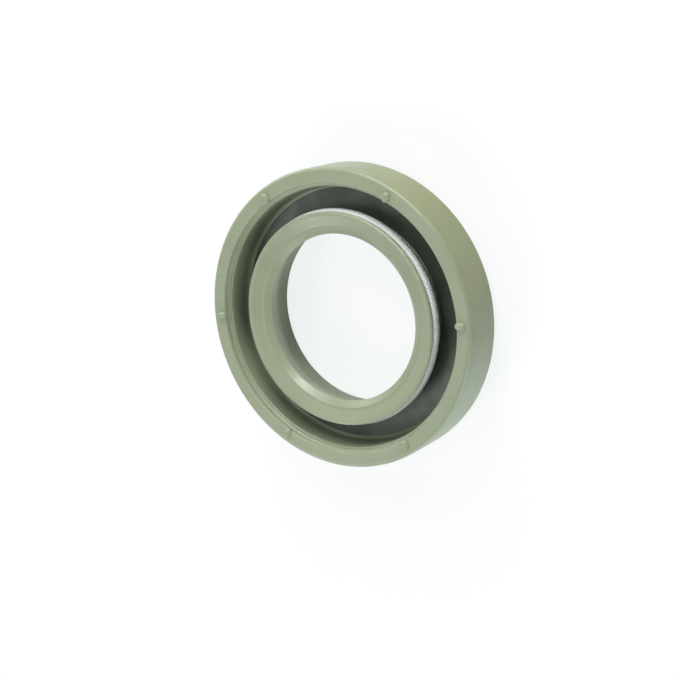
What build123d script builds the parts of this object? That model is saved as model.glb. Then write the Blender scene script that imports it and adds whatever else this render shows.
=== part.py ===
"""Radial shaft seal, 22 x 38 x 7 mm, single lip, rubber covered outside.

Three pieces, all rings about +Z: a moulded elastomer body, a pressed steel case bonded into it, and a
garter spring in the groove behind the sealing lip.  The origin is the centre of the flat back face, so
the seal lies on its back with the spring side up.  Heights are measured up from the back face.
All sizes are in millimetres.
"""

import os
from math import radians, sqrt, tan

from build123d import *

# ---- Catalogue size ----
shaft_diameter = 22.0
outer_diameter = 38.0
width = 7.0

# ---- Pressed steel case, an L in section ----
case_wall = 1.0
case_bend_radius = 0.6  # inside the bend
case_hole_cover = 0.8  # rubber inside the flange's hole

# ---- Rubber around the case ----
cover_thickness = 0.9  # outside the case, up to the outer diameter
end_cover = 1.3  # over the case's front end
back_skin = 1.7  # behind the flange
lining_thickness = 0.5  # inside the case's wall
lining_foot_radius = 0.5  # where the lining runs out on the flange
ledge_width = 0.5  # radial, round the inside of the rim
rim_step = 0.9  # from the rim's face back to the ledge
front_edge_radius = 0.5
back_chamfer_height = 1.0
back_chamfer_angle = 30.0  # from the axis
rim_edge_radius = 0.15
ledge_edge_radius = 0.18
ledge_cove_radius = 0.3

# ---- Spacing pips on the rim ----
pip_count = 6
pip_width = 0.9
pip_length = 1.35
pip_height = 0.42
pip_overhang = 0.15  # past the rim's inner edge
pip_root = 0.5  # how deep each pip runs into the rim
pip_edge_radius = 0.4

# ---- Sealing lip ----
lip_interference = 0.7  # on the diameter, with the lip free
contact_band = 0.2  # width of the band that runs on the shaft
contact_depth = 1.65  # middle of the band, behind the rim's face
oil_side_angle = 50.0  # from the axis
air_side_angle = 22.0
nose_width = 0.79  # radial, from the band to the nose's edge
nose_edge_radius = 0.15
nose_land = 0.3  # radial, the flat round the nose
nose_cove_radius = 0.5
lip_face_depth = 0.3  # top of the bead, behind the rim's face
bore_clearance = 0.86  # round the shaft, behind the lip
bore_edge_radius = 0.45
hinge_thickness = 0.6
hinge_root_radius = 0.2
root_lap = 0.05  # how far the rubber runs out past the root's rounding

# ---- Garter spring and its groove ----
coil_diameter = 1.3
lip_under_spring = 1.85  # rubber between the contact band and the spring
spring_offset = 0.1  # behind the middle of the contact band
groove_clearance = 0.03
bead_rise = 0.2  # the retaining bead's foot, past the spring's centre line
bead_overhang = 0.4  # its top edge, past its foot
bead_top_width = 0.75  # radial, before the edges are rounded
bead_crest_radius = 0.6
bead_edge_radius = 0.3
shoulder_rise = 0.1  # the groove's rear shoulder, past the same line
shoulder_thickness = 0.35

# ---- Roundings, limited by the wall they lie on ----
fillet_share = 0.9  # the most of a wall that a rounding takes

# ---- Radii that follow ----
outer_radius = outer_diameter / 2
case_outer_radius = outer_radius - cover_thickness
case_inner_radius = case_outer_radius - case_wall
lining_radius = case_inner_radius - lining_thickness
rim_radius = lining_radius + ledge_width
ledge_round = min(ledge_edge_radius, fillet_share * (ledge_width - ledge_cove_radius))
bore_radius = shaft_diameter / 2 + bore_clearance
case_hole_radius = bore_radius + case_hole_cover
contact_radius = (shaft_diameter - lip_interference) / 2
nose_radius = contact_radius + nose_width
hinge_radius = bore_radius + hinge_thickness
lap_radius = hinge_radius + hinge_root_radius + root_lap
coil_radius = coil_diameter / 2
spring_radius = contact_radius + lip_under_spring + coil_radius
groove_section_radius = coil_radius + groove_clearance
groove_radius = spring_radius + groove_clearance
bead_radius = spring_radius + bead_rise
bead_top_radius = bead_radius + bead_overhang
bead_crest = bead_top_radius - bead_top_width
shoulder_radius = spring_radius + shoulder_rise

back_radius = outer_radius - back_chamfer_height * tan(radians(back_chamfer_angle))
pip_radius = rim_radius - pip_overhang + pip_length / 2
pip_round = min(pip_edge_radius, fillet_share * pip_width / 2)

# ---- Heights that follow ----
floor_height = back_skin + case_wall
case_end_height = width - end_cover
ledge_height = width - rim_step
contact_height = width - contact_depth
band_low = contact_height - contact_band / 2
band_high = contact_height + contact_band / 2
nose_height = band_high + nose_width / tan(radians(oil_side_angle))
lip_face_height = width - lip_face_depth
spring_height = contact_height - spring_offset
knee_height = band_low - (bore_radius - contact_radius) / tan(radians(air_side_angle))


def groove_rise(radius):
    """How far the groove's wall lies above or below the spring's centre at a radius."""
    return sqrt(groove_section_radius**2 - (radius - groove_radius) ** 2)


bead_foot = spring_height + groove_rise(bead_radius)
shoulder_top = spring_height - groove_rise(shoulder_radius)
shoulder_foot = shoulder_top - shoulder_thickness
hinge_top = shoulder_foot - (shoulder_radius - hinge_radius)
root_radius = min(hinge_root_radius, fillet_share * (hinge_top - floor_height))


def corner(section, radius, height):
    """The corner of a section nearest to a radius and a height."""
    return section.vertices().sort_by_distance((radius, height, 0))[0]


# ---- The case: a drawn cup with its bottom cut out, straight wall forward and flange behind ----
with BuildPart() as metal_case:
    with BuildSketch(Plane.XZ) as case_section:
        with BuildLine():
            Polyline(
                (case_hole_radius, back_skin),
                (case_outer_radius, back_skin),
                (case_outer_radius, case_end_height),
                (case_inner_radius, case_end_height),
                (case_inner_radius, floor_height),
                (case_hole_radius, floor_height),
                close=True,
            )
        make_face()
        fillet(corner(case_section, case_outer_radius, back_skin), case_bend_radius + case_wall)
        fillet(corner(case_section, case_inner_radius, floor_height), case_bend_radius)
    revolve(axis=Axis.Z)

# ---- The elastomer body: the cover round the case, and the lip that grows from the flange's hole ----
with BuildPart() as seal_body:
    with BuildSketch(Plane.XZ) as cover_section:
        with BuildLine():
            Polyline(
                (bore_radius, 0),
                (back_radius, 0),
                (outer_radius, back_chamfer_height),
                (outer_radius, width),
                (rim_radius, width),
                (rim_radius, ledge_height),
                (lining_radius, ledge_height),
                (lining_radius, floor_height),
                (bore_radius, floor_height),
                close=True,
            )
        make_face()
        fillet(corner(cover_section, bore_radius, 0), bore_edge_radius)
        fillet(corner(cover_section, outer_radius, width), front_edge_radius)
        fillet(corner(cover_section, rim_radius, width), rim_edge_radius)
        fillet(corner(cover_section, rim_radius, ledge_height), ledge_cove_radius)
        fillet(corner(cover_section, lining_radius, ledge_height), ledge_round)
        fillet(corner(cover_section, lining_radius, floor_height), lining_foot_radius)
    revolve(axis=Axis.Z)

    with BuildSketch(Plane.XZ) as lip_section:
        with BuildLine():
            Polyline(
                (bore_radius, bore_edge_radius),
                (bore_radius, knee_height),
                (contact_radius, band_low),
                (contact_radius, band_high),
                (nose_radius, nose_height),
                (nose_radius + nose_land, nose_height),
                (bead_crest, lip_face_height),
                (bead_top_radius, lip_face_height),
                (bead_radius, bead_foot),
            )
            ThreePointArc(
                (bead_radius, bead_foot),
                (groove_radius - groove_section_radius, spring_height),
                (shoulder_radius, shoulder_top),
            )
            Polyline(
                (shoulder_radius, shoulder_top),
                (shoulder_radius, shoulder_foot),
                (hinge_radius, hinge_top),
                (hinge_radius, floor_height),
                (lap_radius, floor_height),
                (lap_radius, bore_edge_radius),
                (bore_radius, bore_edge_radius),
            )
        make_face()
        fillet(corner(lip_section, nose_radius, nose_height), nose_edge_radius)
        fillet(corner(lip_section, nose_radius + nose_land, nose_height), nose_cove_radius)
        fillet(corner(lip_section, bead_crest, lip_face_height), bead_crest_radius)
        fillet(corner(lip_section, bead_top_radius, lip_face_height), bead_edge_radius)
        fillet(corner(lip_section, hinge_radius, floor_height), root_radius)
    revolve(axis=Axis.Z)
    add(metal_case.part, mode=Mode.SUBTRACT)

    # Spacing pips, part of the moulding, each a short rounded rib across the rim's inner edge
    with BuildSketch(Plane.XY.offset(width - pip_root)):
        with PolarLocations(pip_radius, pip_count):
            SlotOverall(pip_length, pip_width)
    extrude(amount=pip_root + pip_height)
    fillet(seal_body.faces().sort_by(Axis.Z)[-pip_count:].edges(), pip_round)

# ---- The garter spring: a close-wound coil joined into a ring, as its envelope ----
with BuildPart() as garter_spring:
    with BuildSketch(Plane.XZ):
        with Locations((spring_radius, spring_height)):
            Circle(coil_radius)
    revolve(axis=Axis.Z)

metal_case.part.label = "metal_case"
seal_body.part.label = "seal_body"
garter_spring.part.label = "garter_spring"

os.makedirs("parts", exist_ok=True)
export_step(metal_case.part, "parts/metal_case.step")
export_step(seal_body.part, "parts/seal_body.step")
export_step(garter_spring.part, "parts/garter_spring.step")
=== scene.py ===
"""Radial shaft seal: materials, the wound garter spring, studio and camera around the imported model.

Everything is in metres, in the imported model's own frame: the seal lies on its back on the floor at z = 0,
with its axis along +Z and one spacing pip on +X.
"""

from collections import namedtuple
from math import cos, pi, radians, sin

import bpy
from mathutils import Matrix, Vector


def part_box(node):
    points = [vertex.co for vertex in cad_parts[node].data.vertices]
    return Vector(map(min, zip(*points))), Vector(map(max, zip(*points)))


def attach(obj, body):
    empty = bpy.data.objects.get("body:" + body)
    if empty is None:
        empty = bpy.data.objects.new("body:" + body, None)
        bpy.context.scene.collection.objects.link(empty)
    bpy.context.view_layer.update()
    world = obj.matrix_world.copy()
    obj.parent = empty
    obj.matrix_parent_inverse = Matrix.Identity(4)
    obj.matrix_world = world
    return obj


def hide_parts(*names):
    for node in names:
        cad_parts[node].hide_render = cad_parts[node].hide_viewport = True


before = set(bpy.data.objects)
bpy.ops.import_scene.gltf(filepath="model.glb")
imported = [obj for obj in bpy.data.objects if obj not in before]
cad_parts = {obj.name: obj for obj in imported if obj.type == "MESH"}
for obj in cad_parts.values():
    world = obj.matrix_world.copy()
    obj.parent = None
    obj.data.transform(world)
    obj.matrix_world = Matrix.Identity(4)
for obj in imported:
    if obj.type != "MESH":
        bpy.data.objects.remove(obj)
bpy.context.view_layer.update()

MM = 0.001

# ---- Camera: how the seal sits before it, as in the photograph ----
IMAGE_WIDTH = 680  # pixels
FOCAL_LENGTH = 1400  # pixels
SENSOR_WIDTH = 36.0
AXIS_TURN = radians(-33.94)  # the seal's axis, turned to the left of the line of sight
AXIS_DIP = radians(12.88)  # and dipped below it
PIP_TURN = radians(-2.83)  # the pip on +X, turned about the axis
RIM_CENTRE = Vector((-0.68, 2.39, -173.26)) * MM  # right, up and back from the camera
RIM_HEIGHT = 7.0 * MM  # the rim's face, without its pips
CLIP_START = 5 * MM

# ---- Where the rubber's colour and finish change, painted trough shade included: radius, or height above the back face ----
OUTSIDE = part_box("seal_body")[1][0]
OUTSIDE_BLEND = (OUTSIDE - 0.3 * MM, OUTSIDE - 0.05 * MM)
TROUGH_INSIDE = (12.1 * MM, 12.3 * MM)
TROUGH_OUTSIDE = (17.0 * MM, 16.7 * MM)
TROUGH_HEIGHT = (4.6 * MM, 3.9 * MM)
NECK_LAP = (13.6 * MM, 13.5 * MM)  # the painted shade is stronger inside this, round the neck

# ---- Garter spring ----
WIRE_DIAMETER = 0.20 * MM
STEPS_PER_TURN = 14  # of the line that the wire follows
SIDES_OF_WIRE = 8

# ---- Colours, linear ----
RUBBER = (0.352, 0.408, 0.274)
RUBBER_DARK = (0.322, 0.378, 0.247)
RUBBER_PALE = (0.385, 0.440, 0.306)
RUBBER_YELLOWED = (0.375, 0.412, 0.205)
# painted pale light on the outside: reflected light from a white floor below and sheen on top, put into the
# colour
RUBBER_PAINTED_PALE_LIGHT = (0.46, 0.56, 0.42)
# painted shade: dark rubber colour put where shade falls at the root of the trough
PAINTED_TROUGH_SHADE = (0.130, 0.145, 0.115)
DUST = (0.56, 0.57, 0.50)
PHOSPHATE = (0.078, 0.096, 0.078)
PHOSPHATE_PALE = (0.120, 0.145, 0.118)
DRAWN_STEEL = (0.62, 0.64, 0.64)
BRIGHT_STEEL = (0.70, 0.72, 0.72)
FLOOR = (0.14, 0.14, 0.14)  # as it lights the seal
FLOOR_SHADED = (0.27, 0.20, 0.22)  # the part of the camera's floor that takes a shadow
FLOOR_GLOW = (0.78, 0.84, 0.825)  # the part that shows white whatever the light
WHITE = (1.0, 1.0, 1.0)

# ---- Yellowing wear and painted pale light on the outside: by the distance along YELLOWED_SIDE from the axis ----
YELLOWED_SIDE = (0.74, 0.67, 0.0)  # about a unit vector, to the side that handling has yellowed
YELLOWED_FROM, YELLOWED_TO = 14.0 * MM, 18.5 * MM
# painted pale light: the outside made paler away from YELLOWED_SIDE
PAINTED_PALE_FROM, PAINTED_PALE_TO = 15.5 * MM, 7.0 * MM

# ---- Floor ----
FLOOR_REACH = 0.35  # inside the ring of lamps

# ---- Light ----
SKY_LEVEL = 0.24
BACKGROUND_LEVEL = 1.0
LAMP_DISTANCE = 0.60
LAMP_WIDTH = 0.25
# name: bearing from the picture's right, anticlockwise; height above the floor's plane; watts
LAMPS = {
    "low_lamp_45": (radians(45), radians(13), 0.60),
    "low_lamp_90": (radians(90), radians(13), 1.72),
    "low_lamp_135": (radians(135), radians(13), 0.62),
    "low_lamp_270": (radians(270), radians(13), 0.64),
    "low_lamp_315": (radians(315), radians(13), 1.10),
    "side_lamp_90": (radians(90), radians(38), 0.72),
    "side_lamp_225": (radians(225), radians(38), 1.05),
    "high_lamp_180": (radians(180), radians(66), 0.20),
}
GLINT_WIDTH = 0.10
GLINT_LAMP = (radians(77), radians(48), 1.7)


class Nodes:
    """A node tree with short calls for the nodes that the materials share."""

    def __init__(self, tree):
        self.tree = tree
        tree.nodes.clear()

    def add(self, kind, **values):
        """A node of a kind; values set its properties, and inputs by name are linked or set."""
        node = self.tree.nodes.new(kind)
        inputs = values.pop("inputs", {})
        for name, value in values.items():
            setattr(node, name, value)
        for name, value in inputs.items():
            self.put(node.inputs[name], value)
        return node

    def put(self, socket, value):
        """Link an output socket to an input, or set the input's value."""
        if isinstance(value, bpy.types.NodeSocket):
            self.tree.links.new(value, socket)
        elif hasattr(value, "__len__") and len(value) == 3 and len(socket.default_value) == 4:
            socket.default_value = (*value, 1)
        else:
            socket.default_value = value

    def math(self, operation, a, b=0.0, clamp=False):
        node = self.add("ShaderNodeMath", operation=operation, use_clamp=clamp)
        self.put(node.inputs[0], a)
        self.put(node.inputs[1], b)
        return node.outputs[0]

    def noise(self, vector, scale, detail=3.0, roughness=0.5):
        inputs = {"Vector": vector, "Scale": scale, "Detail": detail, "Roughness": roughness}
        return self.add("ShaderNodeTexNoise", inputs=inputs).outputs["Fac"]

    def ramp(self, value, low, high, out_low=0.0, out_high=1.0):
        """Map a value from low..high to out_low..out_high, held at the ends."""
        node = self.add("ShaderNodeMapRange", clamp=True)
        for name, number in zip(
            ("Value", "From Min", "From Max", "To Min", "To Max"), (value, low, high, out_low, out_high)
        ):
            self.put(node.inputs[name], number)
        return node.outputs[0]

    def mix(self, factor, a, b):
        node = self.add("ShaderNodeMix", data_type="RGBA")
        self.put(node.inputs["Factor"], factor)
        self.put(node.inputs[6], a)
        self.put(node.inputs[7], b)
        return node.outputs[2]

    def bump(self, height, strength, distance, normal=None):
        inputs = {"Height": height, "Strength": strength, "Distance": distance}
        if normal is not None:
            inputs["Normal"] = normal
        return self.add("ShaderNodeBump", inputs=inputs).outputs[0]


# place in object space; a vector that changes slowly along the circumference; radius; height
Ring = namedtuple("Ring", "place along radius height")
STRETCHED_RADIUS = 2 * MM  # of the circle that the circumference is drawn in to


def object_place(nodes):
    return nodes.add("ShaderNodeTexCoord").outputs["Object"]


def around_axis(nodes):
    """Where a point lies on the ring."""
    place = object_place(nodes)
    parts = nodes.add("ShaderNodeSeparateXYZ", inputs={"Vector": place}).outputs
    squares = nodes.math("ADD", nodes.math("POWER", parts[0], 2), nodes.math("POWER", parts[1], 2))
    radius = nodes.math("SQRT", squares)
    along = nodes.add("ShaderNodeCombineXYZ")
    for index in (0, 1):
        direction = nodes.math("DIVIDE", parts[index], radius)
        nodes.put(along.inputs[index], nodes.math("MULTIPLY", direction, STRETCHED_RADIUS))
    nodes.put(along.inputs[2], nodes.math("ADD", radius, parts[2]))
    return Ring(place, along.outputs[0], radius, parts[2])


def new_material(name):
    """An empty material, its nodes and its output."""
    material = bpy.data.materials.new(name)
    material.use_nodes = True
    nodes = Nodes(material.node_tree)
    output = nodes.add("ShaderNodeOutputMaterial")
    return material, nodes, output


def moulded_colour(nodes, ring):
    """Olive-grey, cloudy, with paler flow streaks."""
    cloud = nodes.ramp(nodes.noise(ring.place, 260, detail=4), 0.35, 0.68)
    colour = nodes.mix(cloud, RUBBER_DARK, RUBBER)
    flow = nodes.ramp(nodes.noise(ring.along, 900, detail=2), 0.45, 0.75, 0.0, 0.30)
    return nodes.mix(flow, colour, RUBBER_PALE)


def yellowed_and_painted_pale_colour(nodes, ring, outside, colour):
    """Patches of yellowing on one side of the outside, and of painted pale light, a painted reflection, on
    the rest.
    """
    patches = nodes.ramp(nodes.noise(ring.place, 90, detail=5, roughness=0.6), 0.35, 0.65, 0.5, 1.0)
    yellowing_and_painted_pale_mask = nodes.math("MULTIPLY", outside, patches)
    inputs = {0: ring.place, 1: YELLOWED_SIDE}
    across = nodes.add("ShaderNodeVectorMath", operation="DOT_PRODUCT", inputs=inputs).outputs["Value"]
    # painted pale light: paler outside away from the yellowed side
    painted_pale_mask = nodes.math("MULTIPLY", yellowing_and_painted_pale_mask, nodes.ramp(across, PAINTED_PALE_FROM, PAINTED_PALE_TO, 0.0, 0.9))
    colour = nodes.mix(painted_pale_mask, colour, RUBBER_PAINTED_PALE_LIGHT)
    yellow = nodes.math("MULTIPLY", yellowing_and_painted_pale_mask, nodes.ramp(across, YELLOWED_FROM, YELLOWED_TO, 0.0, 0.9))
    return nodes.mix(yellow, colour, RUBBER_YELLOWED)


def painted_trough_shade_colour(nodes, ring, colour):
    """Painted shade on the rubber at the root of the trough, darker deeper down."""
    # mask of the painted trough shade: past the neck, low in the trough, inside the rim
    past_neck = nodes.ramp(ring.radius, *TROUGH_INSIDE)
    trough_shade_mask = nodes.math("MULTIPLY", past_neck, nodes.ramp(ring.height, *TROUGH_HEIGHT))
    trough_shade_mask = nodes.math("MULTIPLY", trough_shade_mask, nodes.ramp(ring.radius, *TROUGH_OUTSIDE))
    trough_shade_mask = nodes.math("MULTIPLY", trough_shade_mask, nodes.ramp(ring.radius, *NECK_LAP, 0.35, 1.0))
    return nodes.mix(nodes.math("MULTIPLY", trough_shade_mask, 0.85), colour, PAINTED_TROUGH_SHADE)


def rubber_material():
    """Moulded rubber with a satin sheen: yellowed on one side of the outside with painted pale light on the
    rest, painted shade in the trough, and lightly dusted.
    """
    material, nodes, output = new_material("moulded_rubber")
    ring = around_axis(nodes)
    outside = nodes.ramp(ring.radius, *OUTSIDE_BLEND)
    colour = moulded_colour(nodes, ring)
    colour = yellowed_and_painted_pale_colour(nodes, ring, outside, colour)
    colour = painted_trough_shade_colour(nodes, ring, colour)
    specks = nodes.ramp(nodes.noise(ring.place, 2600, detail=3), 0.68, 0.76, 0.0, 0.4)
    colour = nodes.mix(specks, colour, DUST)

    # Where the roughness fell to 0.25, the render had dark marks behind the lip.
    sheen = nodes.ramp(nodes.noise(ring.place, 500, detail=3), 0.3, 0.7, 0.29, 0.40)
    sheen = nodes.math("ADD", sheen, nodes.math("MULTIPLY", outside, 0.08))
    normal = nodes.bump(nodes.noise(ring.place, 9000, detail=2), 0.10, 0.02 * MM)
    normal = nodes.bump(nodes.noise(ring.place, 900, detail=2), 0.12, 0.05 * MM, normal)
    inputs = {"Base Color": colour, "Roughness": sheen, "IOR": 1.46, "Normal": normal}
    shader = nodes.add("ShaderNodeBsdfPrincipled", inputs=inputs)
    nodes.put(output.inputs["Surface"], shader.outputs[0])
    return material


def phosphate_material():
    """Pressed steel with a dark phosphate coat, blotched, with fine marks round the circumference."""
    material, nodes, output = new_material("phosphated_steel")
    ring = around_axis(nodes)
    marks = nodes.noise(ring.along, 9000, detail=4, roughness=0.6)
    blotch = nodes.noise(ring.place, 350, detail=4)
    colour = nodes.mix(nodes.ramp(blotch, 0.35, 0.7), PHOSPHATE, PHOSPHATE_PALE)
    shader = nodes.add(
        "ShaderNodeBsdfPrincipled",
        inputs={
            "Base Color": colour,
            "Metallic": 0.4,
            "Roughness": nodes.ramp(marks, 0.3, 0.7, 0.42, 0.60),
            "Normal": nodes.bump(marks, 0.15, 0.02 * MM),
        },
    )
    nodes.put(output.inputs["Surface"], shader.outputs[0])
    return material


def wire_material():
    """Bright drawn wire with fine die marks."""
    material, nodes, output = new_material("spring_wire")
    marks = nodes.noise(object_place(nodes), 6000, detail=3)
    shader = nodes.add(
        "ShaderNodeBsdfPrincipled",
        inputs={
            "Base Color": nodes.mix(nodes.ramp(marks, 0.35, 0.7), DRAWN_STEEL, BRIGHT_STEEL),
            "Metallic": 1.0,
            "Roughness": nodes.ramp(marks, 0.3, 0.7, 0.68, 0.78),
            "Normal": nodes.bump(marks, 0.08, 0.01 * MM),
        },
    )
    nodes.put(output.inputs["Surface"], shader.outputs[0])
    return material


def wound_spring(node_name):
    """The garter spring's wire: a helix bent round into a ring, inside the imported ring's outline."""
    low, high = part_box(node_name)
    coil_radius = (high[2] - low[2]) / 2
    ring_radius = high[0] - coil_radius
    ring_height = (high[2] + low[2]) / 2
    wire_radius = WIRE_DIAMETER / 2
    winding_radius = coil_radius - wire_radius
    turns = int(2 * pi * ring_radius / WIRE_DIAMETER)
    steps = turns * STEPS_PER_TURN

    def on_helix(step):
        ring_angle = 2 * pi * step / steps
        coil_angle = turns * ring_angle
        outward = Vector((cos(ring_angle), sin(ring_angle), 0))
        from_core = outward * cos(coil_angle) + Vector((0, 0, sin(coil_angle)))
        return outward * ring_radius + from_core * winding_radius + Vector((0, 0, ring_height)), from_core

    points = []
    for step in range(steps):
        centre, from_core = on_helix(step)
        tangent = (on_helix(step + 0.5)[0] - on_helix(step - 0.5)[0]).normalized()
        side = tangent.cross(from_core).normalized()
        out = side.cross(tangent)
        for index in range(SIDES_OF_WIRE):
            angle = 2 * pi * index / SIDES_OF_WIRE
            points.append(centre + (out * cos(angle) + side * sin(angle)) * wire_radius)

    faces = []
    for step in range(steps):
        here = step * SIDES_OF_WIRE
        ahead = (step + 1) % steps * SIDES_OF_WIRE
        for index in range(SIDES_OF_WIRE):
            beside = (index + 1) % SIDES_OF_WIRE
            faces.append((here + index, here + beside, ahead + beside, ahead + index))

    mesh = bpy.data.meshes.new("wound_spring")
    mesh.from_pydata([tuple(point) for point in points], [], faces)
    mesh.validate()
    mesh.polygons.foreach_set("use_smooth", [True] * len(mesh.polygons))
    piece = bpy.data.objects.new("wound_spring", mesh)
    bpy.context.collection.objects.link(piece)
    piece.data.materials.append(wire_material())
    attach(piece, "root")
    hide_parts(node_name)


def dress(node_name, material):
    """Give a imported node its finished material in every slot."""
    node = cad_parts[node_name]
    if not node.material_slots:
        node.data.materials.append(material)
    for slot in node.material_slots:
        slot.material = material


def row_axes_before_camera():
    """The row frame's axes in the camera's frame: right, up and back."""
    axis = Vector((sin(AXIS_TURN) * cos(AXIS_DIP), -sin(AXIS_DIP), cos(AXIS_TURN) * cos(AXIS_DIP)))
    level = Vector((0, 1, 0)).cross(axis).normalized()
    rising = axis.cross(level)
    across = level * cos(PIP_TURN) + rising * sin(PIP_TURN)
    return Matrix((across, axis.cross(across), axis)).transposed()


def add_camera():
    """A camera that sees the seal as the photograph does."""
    camera = bpy.data.objects.new("camera", bpy.data.cameras.new("camera"))
    bpy.context.collection.objects.link(camera)
    axes = row_axes_before_camera()
    place = axes.transposed() @ -RIM_CENTRE + Vector((0, 0, RIM_HEIGHT))
    camera.matrix_world = Matrix.Translation(place) @ axes.transposed().to_4x4()
    camera.data.sensor_fit = "HORIZONTAL"
    camera.data.sensor_width = SENSOR_WIDTH
    camera.data.lens = FOCAL_LENGTH / IMAGE_WIDTH * SENSOR_WIDTH
    camera.data.clip_start = CLIP_START
    bpy.context.scene.camera = camera


def seen_as_background(nodes):
    """One for rays that show the background: from the camera, off gloss and through glass."""
    path = nodes.add("ShaderNodeLightPath").outputs
    seen = nodes.math("ADD", path["Is Camera Ray"], path["Is Glossy Ray"])
    return nodes.math("ADD", seen, path["Is Transmission Ray"], clamp=True)


def add_floor():
    """A floor that shows almost white to the camera and keeps a faint shadow."""
    sides = ((-1, -1), (1, -1), (1, 1), (-1, 1))
    corners = [(x * FLOOR_REACH, y * FLOOR_REACH, 0) for x, y in sides]
    mesh = bpy.data.meshes.new("floor")
    mesh.from_pydata(corners, [], [(0, 1, 2, 3)])
    floor = bpy.data.objects.new("floor", mesh)
    bpy.context.collection.objects.link(floor)
    material, nodes, output = new_material("pale_floor")
    diffuse = nodes.add("ShaderNodeBsdfDiffuse", inputs={"Color": FLOOR})
    lit = nodes.add("ShaderNodeBsdfDiffuse", inputs={"Color": FLOOR_SHADED})
    glow = nodes.add("ShaderNodeEmission", inputs={"Color": FLOOR_GLOW, "Strength": BACKGROUND_LEVEL})
    both = nodes.add("ShaderNodeAddShader")
    nodes.put(both.inputs[0], lit.outputs[0])
    nodes.put(both.inputs[1], glow.outputs[0])
    choose = nodes.add("ShaderNodeMixShader", inputs={"Fac": seen_as_background(nodes)})
    nodes.put(choose.inputs[1], diffuse.outputs[0])
    nodes.put(choose.inputs[2], both.outputs[0])
    nodes.put(output.inputs["Surface"], choose.outputs[0])
    mesh.materials.append(material)


def add_lamp(name, size, bearing, height, power):
    """A round lamp aimed at the seal from its bearing in the picture."""
    lamp = bpy.data.objects.new(name, bpy.data.lights.new(name, "AREA"))
    bpy.context.collection.objects.link(lamp)
    lamp.data.shape = "DISK"
    lamp.data.size = size
    lamp.data.energy = power
    turned = bearing - PIP_TURN
    towards = Vector((cos(turned) * cos(height), sin(turned) * cos(height), sin(height)))
    lamp.location = towards * LAMP_DISTANCE
    lamp.rotation_euler = towards.to_track_quat("Z", "Y").to_euler()
    return lamp


def add_light():
    """A soft sky, the lamps round the seal, and a small one that shows in the gloss alone."""
    world = bpy.data.worlds.new("studio")
    bpy.context.scene.world = world
    world.use_nodes = True
    nodes = Nodes(world.node_tree)
    sky = nodes.add("ShaderNodeBackground", inputs={"Color": WHITE, "Strength": SKY_LEVEL})
    white = nodes.add("ShaderNodeBackground", inputs={"Color": WHITE, "Strength": BACKGROUND_LEVEL})
    choose = nodes.add("ShaderNodeMixShader", inputs={"Fac": seen_as_background(nodes)})
    nodes.put(choose.inputs[1], sky.outputs[0])
    nodes.put(choose.inputs[2], white.outputs[0])
    output = nodes.add("ShaderNodeOutputWorld")
    nodes.put(output.inputs["Surface"], choose.outputs[0])

    for name, setting in LAMPS.items():
        add_lamp(name, LAMP_WIDTH, *setting)
    glint = add_lamp("glint_lamp", GLINT_WIDTH, *GLINT_LAMP)
    glint.visible_diffuse = False


dress("seal_body", rubber_material())
dress("metal_case", phosphate_material())
wound_spring("garter_spring")
bpy.context.scene.view_settings.view_transform = "Standard"
add_camera()
add_floor()
add_light()
